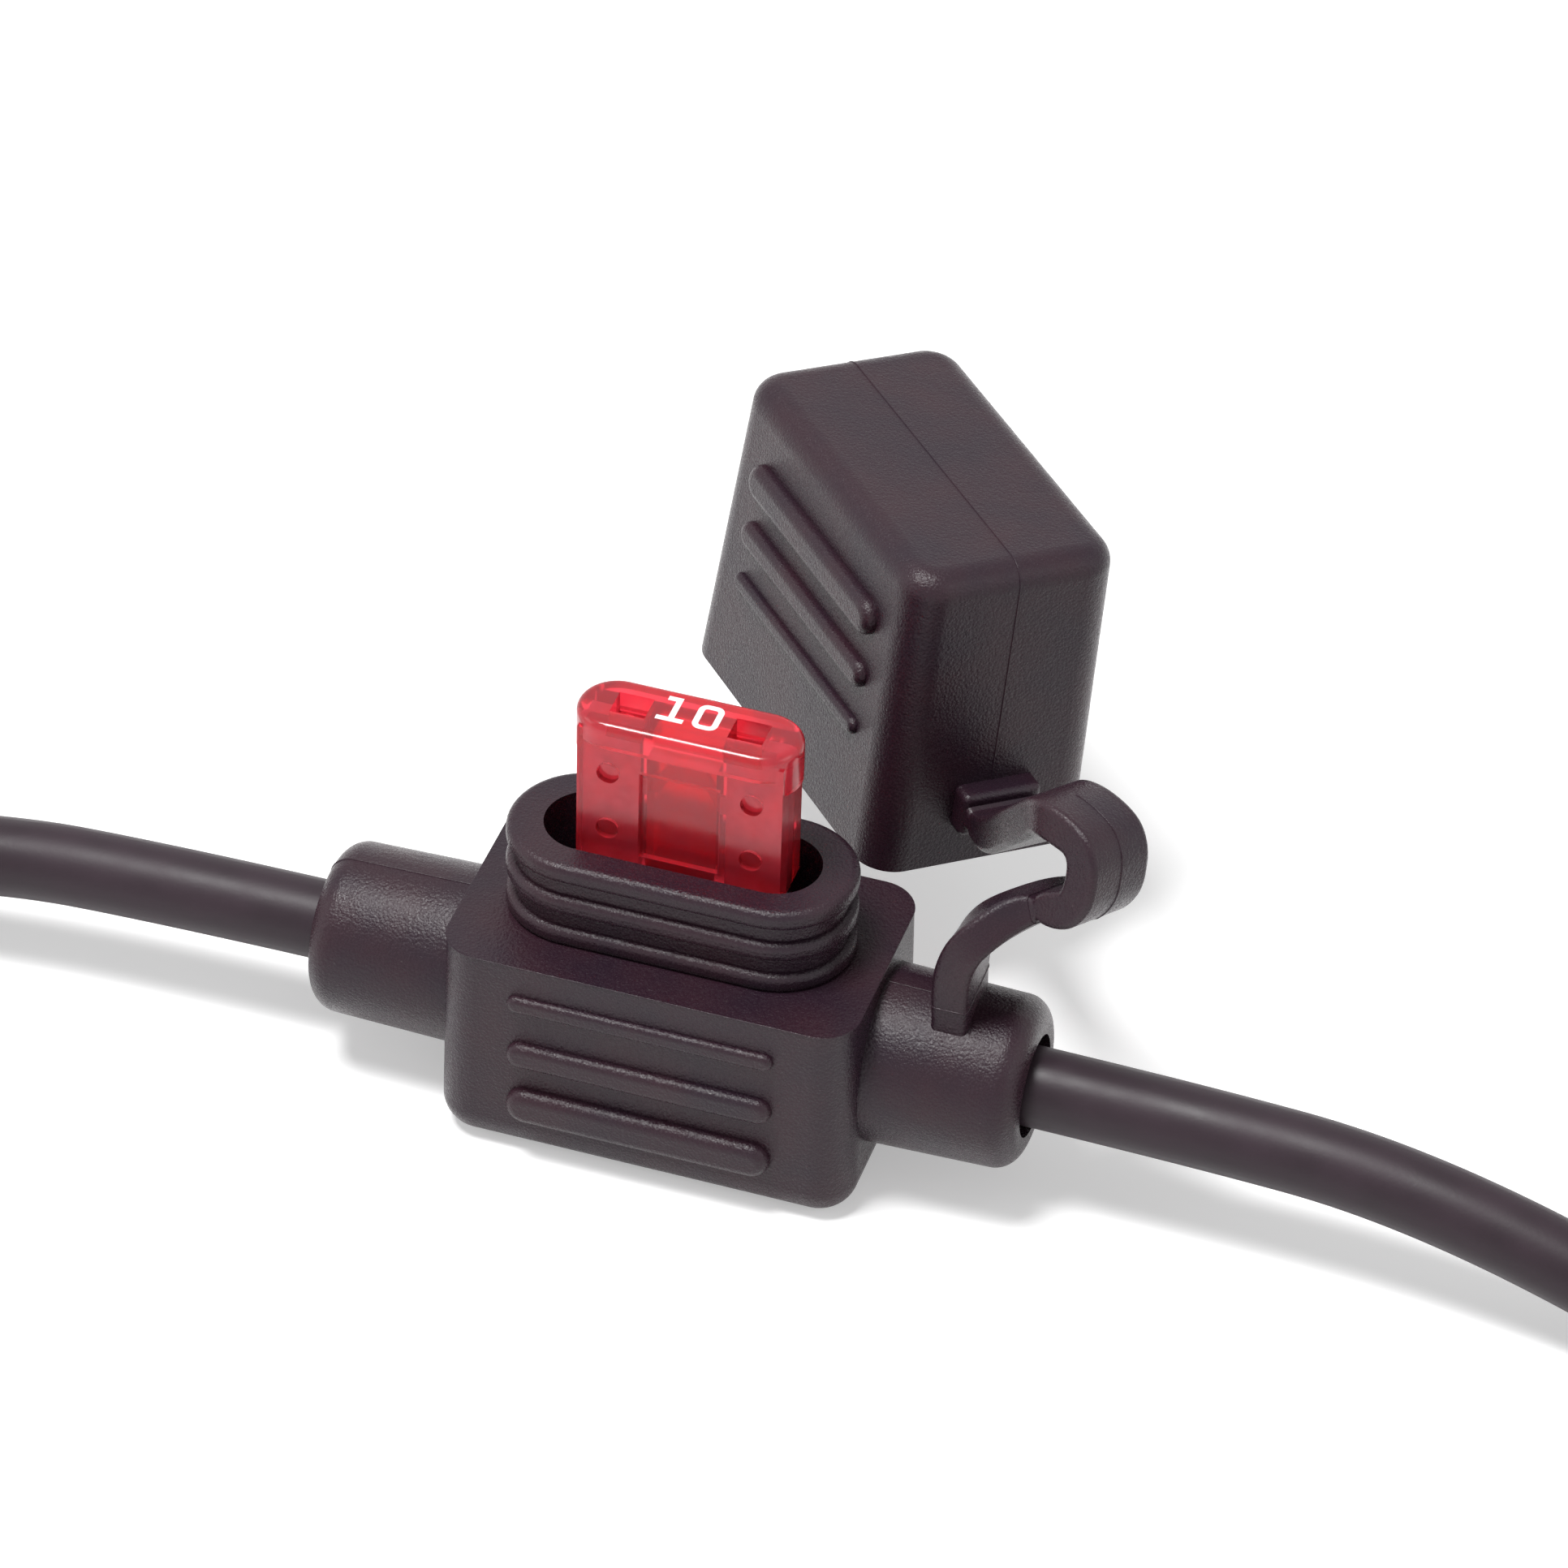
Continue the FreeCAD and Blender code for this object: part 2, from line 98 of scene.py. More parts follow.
# Places of the printed figures on the fuse's head
PRINT_MIDDLE = 0.35
STEM_PLACE = -0.62
FLAG_START = -1.18
FOOT_ENDS = (-1.33, -0.01)
ZERO_MIDDLE = (1.0, 0.3)
ZERO_HALF_LENGTH = 0.62
ZERO_ROUND = 0.28
INK_LIFT = 0.002
INK_THICKNESS = 0.012

# Stage
FLOOR_REACH = 1.5
FLOOR_LEVEL = -0.04
LAMP_AIM = Vector((2, 8, 12)) * MM


# Sizes and colours that a user may change
class LeadSettings(bpy.types.PropertyGroup):
    jacket_diameter: FloatProperty(
        name="Jacket diameter", description="Outside diameter of the insulation",
        default=3.9 * MM, min=1 * MM, max=8 * MM, unit="LENGTH", precision=5)
    strand_diameter: FloatProperty(
        name="Strand diameter", description="Diameter of one copper strand",
        default=0.48 * MM, min=0.1 * MM, max=1 * MM, unit="LENGTH", precision=5)
    strand_turns: FloatProperty(
        name="Strand turns", description="Turns that the outer strands make along the bare end",
        default=0.28, min=0, max=2)
    jacket_colour: FloatVectorProperty(
        name="Jacket", description="Colour of the insulation", subtype="COLOR", size=3,
        default=(0.019, 0.0105, 0.0155), min=0, max=1)
    copper_colour: FloatVectorProperty(
        name="Copper", description="Colour of the bare strands", subtype="COLOR", size=3,
        default=(0.83, 0.42, 0.25), min=0, max=1)


class MouldingSettings(bpy.types.PropertyGroup):
    colour: FloatVectorProperty(
        name="Moulding", description="Colour of the soft moulding", subtype="COLOR", size=3,
        default=(0.021, 0.0092, 0.0155), min=0, max=1)
    grain_size: FloatProperty(
        name="Grain size", description="Width of one pebble of the leather grain",
        default=0.15 * MM, min=0.05 * MM, max=1 * MM, unit="LENGTH", precision=6)
    grain_depth: FloatProperty(
        name="Grain depth", description="Depth of the leather grain",
        default=0.026 * MM, min=0, max=0.2 * MM, unit="LENGTH", precision=6)
    seam_width: FloatProperty(
        name="Mould line width", description="Width of the raised line where the mould halves meet",
        default=0.08 * MM, min=0.02 * MM, max=0.3 * MM, unit="LENGTH", precision=6)
    web_shrink: FloatProperty(
        name="Thin spot waist",
        description="How far each face of the strap sinks in the middle of its two thin spots",
        default=0.16 * MM, min=0.0, max=0.4 * MM, unit="LENGTH", precision=6)


class FuseSettings(bpy.types.PropertyGroup):
    red: FloatVectorProperty(
        name="Fuse red", description="Colour of the see-through fuse moulding", subtype="COLOR", size=3,
        default=(0.92, 0.03, 0.05), min=0, max=1)
    metal: FloatVectorProperty(
        name="Blade metal", description="Colour of the zinc blades", subtype="COLOR", size=3,
        default=(0.62, 0.62, 0.63), min=0, max=1)
    print_colour: FloatVectorProperty(
        name="Print", description="Colour of the printed rating", subtype="COLOR", size=3,
        default=(0.86, 0.84, 0.85), min=0, max=1)
    print_height: FloatProperty(
        name="Print height", description="Height of the printed figures",
        default=1.78 * MM, min=0.5 * MM, max=3 * MM, unit="LENGTH", precision=5)
    stroke: FloatProperty(
        name="Print stroke", description="Width of the printed line",
        default=0.29 * MM, min=0.05 * MM, max=1 * MM, unit="LENGTH", precision=6)


class StageSettings(bpy.types.PropertyGroup):
    lens: FloatProperty(
        name="Lens", description="Focal length of the camera, in millimetres",
        default=172.96, min=20, max=400)
    key_power: FloatProperty(
        name="Key lamp", description="Power of the large lamp overhead",
        default=3.4, min=0, max=50, unit="POWER")
    fill_power: FloatProperty(
        name="Fill lamp", description="Power of the side lamps",
        default=0.5, min=0, max=50, unit="POWER")
    room_light: FloatProperty(
        name="Room light", description="Strength of the light from all round",
        default=0.39, min=0, max=2)


class FuseHolderSettings(bpy.types.PropertyGroup):
    leads: PointerProperty(type=LeadSettings, name="Leads", description="Sizes and colours of the leads")
    moulding: PointerProperty(type=MouldingSettings, name="Moulding", description="The soft moulding")
    fuse: PointerProperty(type=FuseSettings, name="Fuse", description="The fuse and its print")
    stage: PointerProperty(type=StageSettings, name="Stage", description="Camera, lamps and floor")


def settings(context):
    return context.scene.fuse_holder


# Nodes that the materials are made of
def put(node, socket, value):
    node.inputs[socket].default_value = value


def link(tree, a, b):
    tree.links.new(a, b)


def new_material(name):
    made = bpy.data.materials.new(name)
    made.use_nodes = True
    tree = made.node_tree
    return made, tree, tree.nodes["Principled BSDF"]


def object_place(tree):
    return tree.nodes.new("ShaderNodeTexCoord").outputs["Object"]


def noise(tree, place, size, detail=2.0, roughness=0.5):
    made = tree.nodes.new("ShaderNodeTexNoise")
    put(made, "Scale", 1.0 / size)
    put(made, "Detail", detail)
    put(made, "Roughness", roughness)
    link(tree, place, made.inputs["Vector"])
    return made.outputs["Fac"]


def cells(tree, place, size, feature="F1", spread=1.0):
    made = tree.nodes.new("ShaderNodeTexVoronoi")
    made.feature = feature
    put(made, "Scale", 1.0 / size)
    put(made, "Randomness", spread)
    link(tree, place, made.inputs["Vector"])
    return made


def mapped(tree, value, low, high, to_low, to_high):
    made = tree.nodes.new("ShaderNodeMapRange")
    put(made, "From Min", low)
    put(made, "From Max", high)
    put(made, "To Min", to_low)
    put(made, "To Max", to_high)
    link(tree, value, made.inputs["Value"])
    return made.outputs["Result"]


def sums(tree, kind, a, b):
    made = tree.nodes.new("ShaderNodeMath")
    made.operation = kind
    for n, value in enumerate((a, b)):
        if isinstance(value, (int, float)):
            made.inputs[n].default_value = value
        else:
            link(tree, value, made.inputs[n])
    return made.outputs["Value"]


def mixed(tree, share, a, b):
    made = tree.nodes.new("ShaderNodeMix")
    made.data_type = "RGBA"
    if isinstance(share, float):
        made.inputs["Factor"].default_value = share
    else:
        link(tree, share, made.inputs["Factor"])
    for socket, value in ((made.inputs[6], a), (made.inputs[7], b)):
        if isinstance(value, (tuple, list)):
            socket.default_value = (*value[:3], 1)
        else:
            link(tree, value, socket)
    return made.outputs[2]


def bumped(tree, shader, height, distance, strength=1.0, under=None):
    made = tree.nodes.new("ShaderNodeBump")
    put(made, "Distance", distance)
    put(made, "Strength", strength)
    link(tree, height, made.inputs["Height"])
    if under is not None:
        link(tree, under, made.inputs["Normal"])
    if shader is not None:
        link(tree, made.outputs["Normal"], shader.inputs["Normal"])
    return made.outputs["Normal"]


def moulding_material(name, s, grain=1.0, rough=0.27):
    """Soft black moulding: leather grain, patchy gloss, a warm tint and a few specks of dust."""
    made, tree, shader = new_material(name)
    place = object_place(tree)
    colour = tuple(s.colour)
    warm = (colour[0] * 1.25, colour[1] * 1.05, colour[2] * 1.02)
    cool = (colour[0] * 0.85, colour[1] * 0.9, colour[2] * 0.98)
    patches = noise(tree, place, 4 * MM, 3.0)
    tone = mixed(tree, mapped(tree, patches, 0.35, 0.65, 0, 1), cool, warm)
    speck = cells(tree, place, 1.1 * MM)
    near = mapped(tree, speck.outputs["Distance"], 0.02, 0.045, 0.35, 0)
    tone = mixed(tree, near, tone, (0.12, 0.10, 0.10))
    link(tree, tone, shader.inputs["Base Color"])
    pebbles = cells(tree, place, s.grain_size).outputs["Distance"]
    fine = noise(tree, place, s.grain_size * 0.5, 3.0, 0.65)
    height = sums(tree, "ADD", sums(tree, "MULTIPLY", pebbles, -0.8), sums(tree, "MULTIPLY", fine, 0.9))
    swell = noise(tree, place, 1.6 * MM, 2.0)
    broad = bumped(tree, None, swell, 0.03 * MM, 0.5)
    bumped(tree, shader, height, s.grain_depth * grain, 0.9, broad)
    shine = mapped(tree, noise(tree, place, 0.09 * MM, 3.0), 0.35, 0.65, rough - 0.12, rough + 0.14)
    link(tree, shine, shader.inputs["Roughness"])
    put(shader, "Specular IOR Level", 0.28)
    return made


def jacket_material(s):
    """Smooth insulation with faint drawing lines along it and a soft gloss."""
    made, tree, shader = new_material("lead_jacket_finish")
    place = object_place(tree)
    colour = tuple(s.jacket_colour)
    patches = noise(tree, place, 2.5 * MM, 4.0)
    tone = mixed(tree, mapped(tree, patches, 0.3, 0.7, 0, 1), colour, tuple(c * 1.35 for c in colour))
    link(tree, tone, shader.inputs["Base Color"])
    fine = noise(tree, place, 0.22 * MM, 3.0)
    bumped(tree, shader, fine, 0.008 * MM, 0.6)
    link(tree, mapped(tree, patches, 0.3, 0.7, 0.4, 0.5), shader.inputs["Roughness"])
    put(shader, "Specular IOR Level", 0.3)
    return made


def copper_material(s):
    """Bare copper, a little dulled between the strands."""
    made, tree, shader = new_material("bare_copper_finish")
    place = object_place(tree)
    colour = tuple(s.copper_colour)
    patches = noise(tree, place, 0.5 * MM, 4.0)
    tone = mixed(tree, mapped(tree, patches, 0.35, 0.7, 0, 1), colour, tuple(c * 0.6 for c in colour))
    link(tree, tone, shader.inputs["Base Color"])
    put(shader, "Metallic", 1.0)
    link(tree, mapped(tree, patches, 0.3, 0.7, 0.22, 0.42), shader.inputs["Roughness"])
    bumped(tree, shader, noise(tree, place, 0.08 * MM, 2.0), 0.004 * MM, 0.5)
    return made


def sheet_metal_material(name, colour, low, high):
    """Stamped sheet with fine scratches along its height."""
    made, tree, shader = new_material(name)
    place = object_place(tree)
    stretch = tree.nodes.new("ShaderNodeMapping")
    put(stretch, "Scale", (1.0, 1.0, 0.12))
    link(tree, place, stretch.inputs["Vector"])
    scratches = noise(tree, stretch.outputs["Vector"], 0.09 * MM, 3.0)
    patches = noise(tree, place, 0.9 * MM, 3.0)
    tone = mixed(tree, mapped(tree, patches, 0.3, 0.7, 0, 1), colour, tuple(c * 0.78 for c in colour))
    link(tree, tone, shader.inputs["Base Color"])
    put(shader, "Metallic", 1.0)
    link(tree, mapped(tree, scratches, 0.3, 0.7, low, high), shader.inputs["Roughness"])
    bumped(tree, shader, scratches, 0.004 * MM, 0.5)
    return made


def fuse_material(s):
    """See-through red moulding, a little cloudy, with flow marks."""
    made, tree, shader = new_material("fuse_red_finish")
    place = object_place(tree)
    colour = tuple(s.red)
    milky = (colour[0] * 0.9, colour[1] * 1.6, colour[2] * 1.6)
    cloud = noise(tree, place, 1.4 * MM, 3.0)
    tone = mixed(tree, mapped(tree, cloud, 0.3, 0.7, 0, 1), colour, milky)
    link(tree, tone, shader.inputs["Base Color"])
    shine = mapped(tree, noise(tree, place, 0.5 * MM, 3.0), 0.3, 0.7, 0.14, 0.22)
    link(tree, shine, shader.inputs["Roughness"])
    put(shader, "IOR", 1.45)
    put(shader, "Transmission Weight", 0.78)
    put(shader, "Specular IOR Level", 0.5)
    bumped(tree, shader, noise(tree, place, 0.5 * MM, 2.0), 0.01 * MM, 0.4)
    return made


def print_material(s):
    """Pad-printed white ink, thin enough to let a little red through."""
    made, tree, shader = new_material("rating_print_finish")
    place = object_place(tree)
    colour = tuple(s.print_colour)
    patches = noise(tree, place, 0.12 * MM, 3.0)
    pink = (colour[0], colour[1] * 0.86, colour[2] * 0.88)
    tone = mixed(tree, mapped(tree, patches, 0.35, 0.75, 0, 1), colour, pink)
    link(tree, tone, shader.inputs["Base Color"])
    link(tree, mapped(tree, patches, 0.3, 0.7, 0.45, 0.6), shader.inputs["Roughness"])
    return made


def floor_material():
    """Pale sweep that shows white to the camera and in gloss, and still takes the shadow."""
    made, tree, shader = new_material("floor_finish")
    tree.nodes.remove(shader)
    out = tree.nodes["Material Output"]
    plain = tree.nodes.new("ShaderNodeBsdfDiffuse")
    put(plain, "Color", (0.8, 0.8, 0.8, 1))
    glow = tree.nodes.new("ShaderNodeEmission")
    put(glow, "Strength", 0.37)
    both = tree.nodes.new("ShaderNodeAddShader")
    pick = tree.nodes.new("ShaderNodeMixShader")
    link(tree, plain.outputs[0], both.inputs[0])
    link(tree, glow.outputs[0], both.inputs[1])
    link(tree, seen(tree), pick.inputs["Fac"])
    link(tree, plain.outputs[0], pick.inputs[1])
    link(tree, both.outputs[0], pick.inputs[2])
    link(tree, pick.outputs[0], out.inputs["Surface"])
    return made


def seen(tree):
    """1 for rays from the camera and for those that gloss and glass send on."""
    path = tree.nodes.new("ShaderNodeLightPath")
    most = sums(tree, "MAXIMUM", path.outputs["Is Camera Ray"], path.outputs["Is Glossy Ray"])
    return sums(tree, "MAXIMUM", most, path.outputs["Is Transmission Ray"])


def dress(piece, material):
    piece.data.materials.clear()
    piece.data.materials.append(material)


# Meshes
def mesh_piece(name, mesh):
    made = bpy.data.objects.new(name, mesh)
    bpy.context.scene.collection.objects.link(made)
    return made


def mesh_from(name, points, faces):
    mesh = bpy.data.meshes.new(name)
    mesh.from_pydata([tuple(p) for p in points], [], faces)
    mesh.update()
    return mesh


def plane_cut(node_name, point, normal, wanted):
    """The edges along which a plane meets a carried-over solid, as a mesh without faces."""
    bm = bmesh.new()
    bm.from_mesh(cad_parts[node_name].data)
    bmesh.ops.remove_doubles(bm, verts=bm.verts, dist=1e-7)
    geometry = bm.verts[:] + bm.edges[:] + bm.faces[:]
    cut = bmesh.ops.bisect_plane(bm, geom=geometry, plane_co=point, plane_no=normal)
    edges = [e for e in cut["geom_cut"] if isinstance(e, bmesh.types.BMEdge)]
    points, pairs, numbers = [], [], {}
    for edge in edges:
        middle = (edge.verts[0].co + edge.verts[1].co) / 2
        if edge.calc_length() < 1e-8 or not wanted(middle / MM):
            continue
        pair = []
        for vert in edge.verts:
            if vert.index not in numbers or points[numbers[vert.index]] != vert.co:
                numbers[vert.index] = len(points)
                points.append(vert.co.copy())
            pair.append(numbers[vert.index])
        pairs.append(pair)
    bm.free()
    mesh = bpy.data.meshes.new(node_name + "_line")
    mesh.from_pydata([tuple(p) for p in points], pairs, [])
    return mesh


def grouped(tree, kind, **values):
    made = tree.nodes.new(kind)
    for name, value in values.items():
        setattr(made, name, value)
    return made


def new_tree(name, sizes):
    """A Geometry Nodes tree with a geometry in and out and one named input for each size."""
    tree = bpy.data.node_groups.new(name, "GeometryNodeTree")
    tree.interface.new_socket("Geometry", in_out="INPUT", socket_type="NodeSocketGeometry")
    for label, kind, default in sizes:
        socket = tree.interface.new_socket(label, in_out="INPUT", socket_type=kind)
        if default is not None:
            socket.default_value = default
    tree.interface.new_socket("Geometry", in_out="OUTPUT", socket_type="NodeSocketGeometry")
    return tree, tree.nodes.new("NodeGroupInput"), tree.nodes.new("NodeGroupOutput")


def tree_result(piece, tree, values):
    """Runs a tree on a piece with the given inputs and leaves a plain mesh in its place."""
    modifier = piece.modifiers.new("shape", "NODES")
    modifier.node_group = tree
    for item in tree.interface.items_tree:
        if item.item_type == "SOCKET" and item.in_out == "INPUT" and item.name in values:
            modifier[item.identifier] = values[item.name]
    depsgraph = bpy.context.evaluated_depsgraph_get()
    mesh = bpy.data.meshes.new_from_object(piece.evaluated_get(depsgraph))
    piece.modifiers.remove(modifier)
    old = piece.data
    piece.data = mesh
    bpy.data.meshes.remove(old)
    mesh.name = piece.name
    return piece


def line_tree():
    """A thin round ridge along every edge of a wire mesh."""
    tree, given, out = new_tree("mould_line", [
        ("Radius", "NodeSocketFloat", 0.00004), ("Material", "NodeSocketMaterial", None)])
    curve = grouped(tree, "GeometryNodeMeshToCurve")
    profile = grouped(tree, "GeometryNodeCurvePrimitiveCircle")
    put(profile, "Resolution", 6)
    swept = grouped(tree, "GeometryNodeCurveToMesh")
    real = grouped(tree, "GeometryNodeRealizeInstances")
    dressed = grouped(tree, "GeometryNodeSetMaterial")
    link(tree, given.outputs["Geometry"], curve.inputs[0])
    link(tree, given.outputs["Radius"], profile.inputs["Radius"])
    link(tree, curve.outputs[0], swept.inputs["Curve"])
    link(tree, profile.outputs["Curve"], swept.inputs["Profile Curve"])
    link(tree, swept.outputs[0], real.inputs[0])
    link(tree, real.outputs[0], dressed.inputs["Geometry"])
    link(tree, given.outputs["Material"], dressed.inputs["Material"])
    link(tree, dressed.outputs[0], out.inputs[0])
    return tree


def strand_tree():
    """Twisted copper: rings of 1, 6 and 12 strands round one axis, along +Z."""
    tree, given, out = new_tree("strand_bundle", [
        ("Strand radius", "NodeSocketFloat", 0.0002), ("Length", "NodeSocketFloat", 0.006),
        ("Turns", "NodeSocketFloat", 0.3), ("Material", "NodeSocketMaterial", None)])
    profile = grouped(tree, "GeometryNodeCurvePrimitiveCircle")
    put(profile, "Resolution", 10)
    link(tree, given.outputs["Strand radius"], profile.inputs["Radius"])
    joined = grouped(tree, "GeometryNodeJoinGeometry")
    for ring, count in ((0, 1), (2, 6), (4, 12)):
        spiral = grouped(tree, "GeometryNodeCurveSpiral")
        put(spiral, "Resolution", 24)
        far = grouped(tree, "ShaderNodeMath", operation="MULTIPLY")
        far.inputs[1].default_value = ring * 0.97 + 0.001
        link(tree, given.outputs["Strand radius"], far.inputs[0])
        link(tree, far.outputs[0], spiral.inputs["Start Radius"])
        link(tree, far.outputs[0], spiral.inputs["End Radius"])
        link(tree, given.outputs["Turns"], spiral.inputs["Rotations"])
        link(tree, given.outputs["Length"], spiral.inputs["Height"])
        strand = grouped(tree, "GeometryNodeCurveToMesh")
        strand.inputs["Fill Caps"].default_value = True
        link(tree, spiral.outputs[0], strand.inputs["Curve"])
        link(tree, profile.outputs["Curve"], strand.inputs["Profile Curve"])
        places = grouped(tree, "GeometryNodeMeshLine")
        put(places, "Count", count)
        places.inputs["Offset"].default_value = (0, 0, 0)
        index = grouped(tree, "GeometryNodeInputIndex")
        angle = grouped(tree, "ShaderNodeMath", operation="MULTIPLY")
        angle.inputs[1].default_value = 2 * math.pi / count
        link(tree, index.outputs[0], angle.inputs[0])
        turned = grouped(tree, "ShaderNodeCombineXYZ")
        link(tree, angle.outputs[0], turned.inputs["Z"])
        copies = grouped(tree, "GeometryNodeInstanceOnPoints")
        link(tree, places.outputs[0], copies.inputs["Points"])
        link(tree, strand.outputs[0], copies.inputs["Instance"])
        link(tree, turned.outputs[0], copies.inputs["Rotation"])
        link(tree, copies.outputs[0], joined.inputs[0])
    real = grouped(tree, "GeometryNodeRealizeInstances")
    dressed = grouped(tree, "GeometryNodeSetMaterial")
    link(tree, joined.outputs[0], real.inputs[0])
    link(tree, real.outputs[0], dressed.inputs["Geometry"])
    link(tree, given.outputs["Material"], dressed.inputs["Material"])
    link(tree, dressed.outputs[0], out.inputs[0])
    return tree


def lead_points(side):
    return [Vector((side * x, y, z)) * MM for x, y, z in LEAD_ROUTE]


def ribbon_outline(points, width, closed):
    """Left and right border of a flat line of even width, with mitred corners."""
    left, right = [], []
    count = len(points)
    for n in range(count):
        here = points[n]
        before = points[n - 1] if n > 0 or closed else None
        after = points[(n + 1) % count] if n < count - 1 or closed else None
        ways = []
        if before is not None:
            ways.append((here - before).normalized())
        if after is not None:
            ways.append((after - here).normalized())
        way = sum(ways, Vector((0, 0))).normalized()
        side = Vector((-way.y, way.x))
        reach = width / 2
        if len(ways) == 2:
            reach /= max(0.5, side.dot(Vector((-ways[0].y, ways[0].x))))
        left.append(here + side * reach)
        right.append(here - side * reach)
    return left, right


def flat_figure(bm, points, width, level, thick, closed=False):
    """A printed stroke: a flat ribbon with a little thickness."""
    left, right = ribbon_outline(points, width, closed)
    rows = []
    for a, b in zip(left, right):
        rows.append([bm.verts.new((a.x, a.y, level)), bm.verts.new((b.x, b.y, level)),
                     bm.verts.new((b.x, b.y, level + thick)), bm.verts.new((a.x, a.y, level + thick))])
    spans = len(rows) if closed else len(rows) - 1
    for n in range(spans):
        one, two = rows[n], rows[(n + 1) % len(rows)]
        for k in range(4):
            m = (k + 1) % 4
            bm.faces.new((one[k], one[m], two[m], two[k]))
    if not closed:
        bm.faces.new(rows[0][::-1])
        bm.faces.new(rows[-1])


def rounded_loop(cx, cy, half_x, half_y, radius, steps=6):
    points = []
    for n, (sx, sy) in enumerate(((1, 1), (-1, 1), (-1, -1), (1, -1))):
        for k in range(steps + 1):
            a = math.radians(90 * n + 90 * k / steps)
            points.append(Vector((cx + sx * (half_x - radius) + math.cos(a) * radius,
                                  cy + sy * (half_y - radius) + math.sin(a) * radius)))
    return points


def web_mesh(name, start, way, across, shrink):
    """A short strip with rounded edges that runs a little into the strap at both ends."""
    normal = way.cross(across).normalized()
    length = THIN_SPOT_LENGTH * MM
    inside = 0.35 * MM
    rings = 13
    half_x = STRAP_WIDTH / 2 * MM - 0.02 * MM
    points, faces = [], []
    for n in range(rings):
        along = -inside + (length + 2 * inside) * n / (rings - 1)
        share = min(1.0, max(0.0, along / length))
        half_y = (THIN_SPOT / 2 - 0.02) * MM - shrink * math.sin(math.pi * share)
        outline = rounded_loop(0, 0, half_x, half_y, 0.3 * MM)
        points += [start + way * along + across * p.x + normal * p.y for p in outline]
    count = len(outline)
    for n in range(rings - 1):
        for k in range(count):
            m = (k + 1) % count
            faces.append((n * count + k, n * count + m, (n + 1) * count + m, (n + 1) * count + k))
    faces.append(tuple(range(count)))
    faces.append(tuple(range((rings - 1) * count, rings * count)))
    mesh = mesh_from(name, points, faces)
    bm = bmesh.new()
    bm.from_mesh(mesh)
    bmesh.ops.recalc_face_normals(bm, faces=bm.faces)
    bm.to_mesh(mesh)
    bm.free()
    for face in mesh.polygons:
        face.use_smooth = len(face.vertices) == 4
    return mesh


class FUSEHOLDER_OT_camera(bpy.types.Operator):
    """Set up the camera at the photograph's viewing angle"""

    bl_idname = "fuseholder.camera"
    bl_label = "Camera"

    def execute(self, context):
        data = bpy.data.cameras.new("photo_camera")
        data.lens = settings(context).stage.lens
        data.sensor_width = 36.0
        data.clip_start, data.clip_end = 0.01, 10.0
        camera = bpy.data.objects.new("photo_camera", data)
        context.scene.collection.objects.link(camera)
        back = (CAMERA_BACK - CAMERA_RIGHT * CAMERA_BACK.dot(CAMERA_RIGHT)).normalized()
        up = back.cross(CAMERA_RIGHT)
        turn = Matrix((CAMERA_RIGHT, up, back)).transposed().to_4x4()
        camera.matrix_world = Matrix.Translation(CAMERA_PLACE) @ turn
        context.scene.camera = camera
        return {"FINISHED"}


class FUSEHOLDER_OT_leads(bpy.types.Operator):
    """Lay the two leads along their routes, with stranded copper at their bare ends"""

    bl_idname = "fuseholder.leads"
    bl_label = "Leads"

    def execute(self, context):
        s = settings(context).leads
        jacket_finish = jacket_material(s)
        copper = copper_material(s)
        tree = strand_tree()
        for name, side in (("left", -1), ("right", 1)):
            route = lead_points(side)
            data = bpy.data.curves.new(name + "_lead", "CURVE")
            data.dimensions = "3D"
            data.bevel_depth = s.jacket_diameter / 2
            data.bevel_resolution = 8
            data.resolution_u = 16
            data.use_fill_caps = True
            spline = data.splines.new("NURBS")
            spline.points.add(len(route) - 1)
            for point, place in zip(spline.points, route):
                point.co = (*place, 1)
            spline.order_u = 3
            spline.use_endpoint_u = True
            data.materials.append(jacket_finish)
            lead = bpy.data.objects.new(name + "_lead", data)
            context.scene.collection.objects.link(lead)
            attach(lead, "base")
            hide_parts(name + "_lead_jacket")
            strands = mesh_piece(name + "_bare_strands", bpy.data.meshes.new("strands"))
            inside = 1.5 * MM
            tree_result(strands, tree, {
                "Strand radius": s.strand_diameter / 2, "Length": BARE_LENGTH * MM + inside,
                "Turns": s.strand_turns, "Material": copper})
            way = (route[-1] - route[-2]).normalized()
            turn = way.to_track_quat("Z", "Y").to_matrix().to_4x4()
            strands.data.transform(Matrix.Translation(route[-1] - way * inside) @ turn)
            for face in strands.data.polygons:
                face.use_smooth = len(face.vertices) == 4
            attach(strands, "base")
            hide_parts(name + "_lead_core")
        return {"FINISHED"}


class FUSEHOLDER_OT_moulding(bpy.types.Operator):
    """Give the body, the strap and the cap their grained finish"""

    bl_idname = "fuseholder.moulding"
    bl_label = "Moulding"

    def execute(self, context):
        s = settings(context).moulding
        finish = moulding_material("moulding_finish", s)
        for name in ("housing", "strap_bend", "cap"):
            dress(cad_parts[name], finish)
        return {"FINISHED"}


